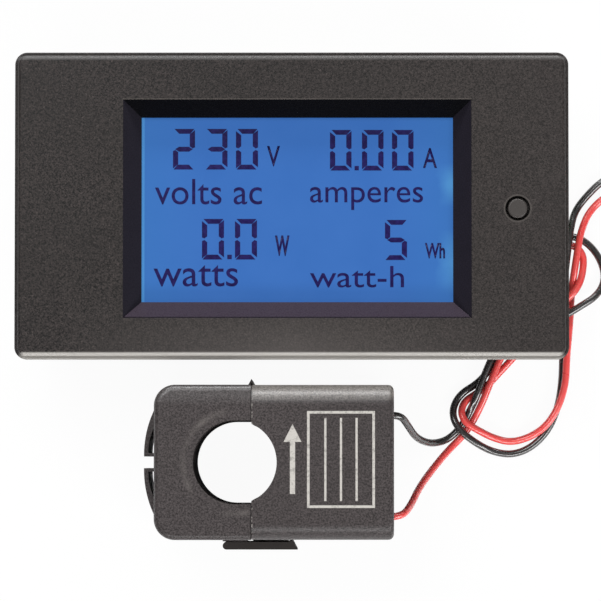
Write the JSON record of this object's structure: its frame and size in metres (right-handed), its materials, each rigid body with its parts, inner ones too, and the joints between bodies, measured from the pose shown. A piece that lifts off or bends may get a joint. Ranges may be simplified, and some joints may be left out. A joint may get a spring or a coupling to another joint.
{
  "type": "ac power meter",
  "caption": "Panel-mount AC power meter with a bevelled display window, push button, rear screw terminals and clips, beside a split-core current transformer with red and black leads.",
  "frame": {"origin": "centre of the meter's rear rest face, on the table", "axes": "+X to the right along the meter's face, +Y up the face, +Z out of the display"},
  "size_m": [0.113, 0.0807, 0.027],
  "materials": {
    "housing": "fine-grained dark grey, polished bevel round the window",
    "cover": "plain dark grey",
    "clip": "plain dark grey",
    "button": "dark grey, softly worn top",
    "switch_plunger": "black",
    "switch_body": "black",
    "display_glass": "blue liquid crystal display, lit from behind",
    "display_rear_glass": "blue-lit glass",
    "tinned_metal": "tinned",
    "white_plastic": "plain white",
    "light_guide": "milky clear",
    "led": "milky",
    "board": "green solder mask",
    "zinc_steel": "zinc plated",
    "terminal_plastic": "plain black",
    "brass": "bright",
    "nickel_brass": "nickel plated",
    "box_capacitor": "ochre dipped case",
    "can_capacitor": "dark sleeve on an aluminium can",
    "varistor": "blue coating",
    "resistor_body": "grey-green coating",
    "diode_body": "black body, pale band",
    "chip": "black body, tinned legs",
    "crystal_can": "satin can",
    "chip_resistor": "black top, white ends",
    "chip_capacitor": "tan",
    "ct_plastic": "dark grey, slightly textured",
    "ct_cover": "plain dark grey",
    "ct_latch": "dark grey",
    "ferrite": "ground dark grey",
    "winding": "enamelled copper wire",
    "red_insulation": "satin soft plastic",
    "black_insulation": "satin soft plastic"
  },
  "bodies": {
    "meter": {"front_housing": "housing", "rear_cover": "cover", "key_switch_body": "switch_body", "lcd_front_glass": "display_glass", "lcd_rear_glass": "display_rear_glass", "lcd_pins": "tinned_metal", "display_holder": "white_plastic", "backlight_guide": "light_guide", "backlight_leds": "led", "main_board": "board", "board_screws": "zinc_steel", "terminal_block": "terminal_plastic", "terminal_contacts": "brass", "dropper_capacitor": "box_capacitor", "smoothing_capacitors": "can_capacitor", "varistor": "varistor", "fuse_resistor": "resistor_body", "rectifier_diodes": "diode_body", "metering_chip": "chip", "controller_chip": "chip", "memory_chip": "chip", "crystal": "crystal_can", "divider_resistors": "chip_resistor", "filter_capacitors": "chip_capacitor", "lead_red": "red_insulation", "lead_black": "black_insulation", "lead_tips": "tinned_metal"},
    "button": {"button_cap": "button", "switch_plunger": "switch_plunger"},
    "clip_upper": {"panel_clip_upper": "clip"},
    "clip_lower": {"panel_clip_lower": "clip"},
    "ct_case": {"ct_body_shell": "ct_plastic", "ct_end_cover": "ct_cover", "ct_body_core": "ferrite", "ct_bobbin": "white_plastic", "ct_winding": "winding", "ct_lead_tails": "tinned_metal", "ct_hinge_strip": "ct_plastic"},
    "ct_cap": {"ct_cap_shell": "ct_plastic", "ct_cap_core": "ferrite", "ct_core_spring": "zinc_steel"},
    "ct_latch": {"ct_latch": "ct_latch"},
    "screw_1": {"terminal_screw_1": "zinc_steel"},
    "clamp_1": {"terminal_clamp_1": "nickel_brass"},
    "screw_2": {"terminal_screw_2": "zinc_steel"},
    "clamp_2": {"terminal_clamp_2": "nickel_brass"},
    "screw_3": {"terminal_screw_3": "zinc_steel"},
    "clamp_3": {"terminal_clamp_3": "nickel_brass"},
    "screw_4": {"terminal_screw_4": "zinc_steel"},
    "clamp_4": {"terminal_clamp_4": "nickel_brass"}
  },
  "joints": [
    {"name": "button_press", "type": "slide", "parent": "meter", "child": "button", "axis": [0, 0, -1], "range_m": [0, 0.0003], "stiffness_N_per_m": 1500},
    {"name": "clip_upper_flex", "type": "hinge", "parent": "meter", "child": "clip_upper", "pos_m": [0, 0.0214, 0.0039], "axis": [1, 0, 0], "range_deg": [0, 5.2], "stiffness_Nm_per_rad": 1.2},
    {"name": "clip_lower_flex", "type": "hinge", "parent": "meter", "child": "clip_lower", "pos_m": [0, -0.0214, 0.0039], "axis": [-1, 0, 0], "range_deg": [0, 5.2], "stiffness_Nm_per_rad": 1.2},
    {"name": "terminal_screw_1_turn", "type": "hinge", "parent": "meter", "child": "screw_1", "pos_m": [0.0369, -0.00762, 0.0049], "axis": [0, 0, 1], "range_deg": [0, 1440]},
    {"name": "terminal_screw_2_turn", "type": "hinge", "parent": "meter", "child": "screw_2", "pos_m": [0.0369, -0.00254, 0.0049], "axis": [0, 0, 1], "range_deg": [0, 1440]},
    {"name": "terminal_screw_3_turn", "type": "hinge", "parent": "meter", "child": "screw_3", "pos_m": [0.0369, 0.00254, 0.0049], "axis": [0, 0, 1], "range_deg": [0, 1440]},
    {"name": "terminal_screw_4_turn", "type": "hinge", "parent": "meter", "child": "screw_4", "pos_m": [0.0369, 0.00762, 0.0049], "axis": [0, 0, 1], "range_deg": [0, 1440]},
    {"name": "terminal_clamp_1_rise", "type": "slide", "parent": "meter", "child": "clamp_1", "axis": [0, 0, -1], "range_m": [0, 0.0018]},
    {"name": "terminal_clamp_2_rise", "type": "slide", "parent": "meter", "child": "clamp_2", "axis": [0, 0, -1], "range_m": [0, 0.0018]},
    {"name": "terminal_clamp_3_rise", "type": "slide", "parent": "meter", "child": "clamp_3", "axis": [0, 0, -1], "range_m": [0, 0.0018]},
    {"name": "terminal_clamp_4_rise", "type": "slide", "parent": "meter", "child": "clamp_4", "axis": [0, 0, -1], "range_m": [0, 0.0018]},
    {"name": "ct_swing", "type": "hinge", "parent": "meter", "child": "ct_case", "pos_m": [0.026, -0.0422, 0], "axis": [0, 0, 1], "range_deg": [0, 60], "deforming": ["lead_red", "lead_black"]},
    {"name": "ct_cap_hinge", "type": "hinge", "parent": "ct_case", "child": "ct_cap", "pos_m": [-0.00652, -0.0288, 0.0135], "axis": [0, 0, -1], "range_deg": [0, 110], "deforming": ["ct_hinge_strip"]},
    {"name": "ct_latch_flex", "type": "hinge", "parent": "ct_cap", "child": "ct_latch", "pos_m": [-0.01065, -0.05518, 0.0135], "axis": [0, 0, -1], "range_deg": [0, 8], "stiffness_Nm_per_rad": 0.2}
  ],
  "couplings": [
    {"joint": "terminal_screw_1_turn", "follows": "terminal_clamp_1_rise", "rad_per_m": 13962},
    {"joint": "terminal_screw_2_turn", "follows": "terminal_clamp_2_rise", "rad_per_m": 13962},
    {"joint": "terminal_screw_3_turn", "follows": "terminal_clamp_3_rise", "rad_per_m": 13962},
    {"joint": "terminal_screw_4_turn", "follows": "terminal_clamp_4_rise", "rad_per_m": 13962},
    {"joint": "ct_cap_hinge", "follows": "ct_swing", "ratio": 1.8333}
  ]
}
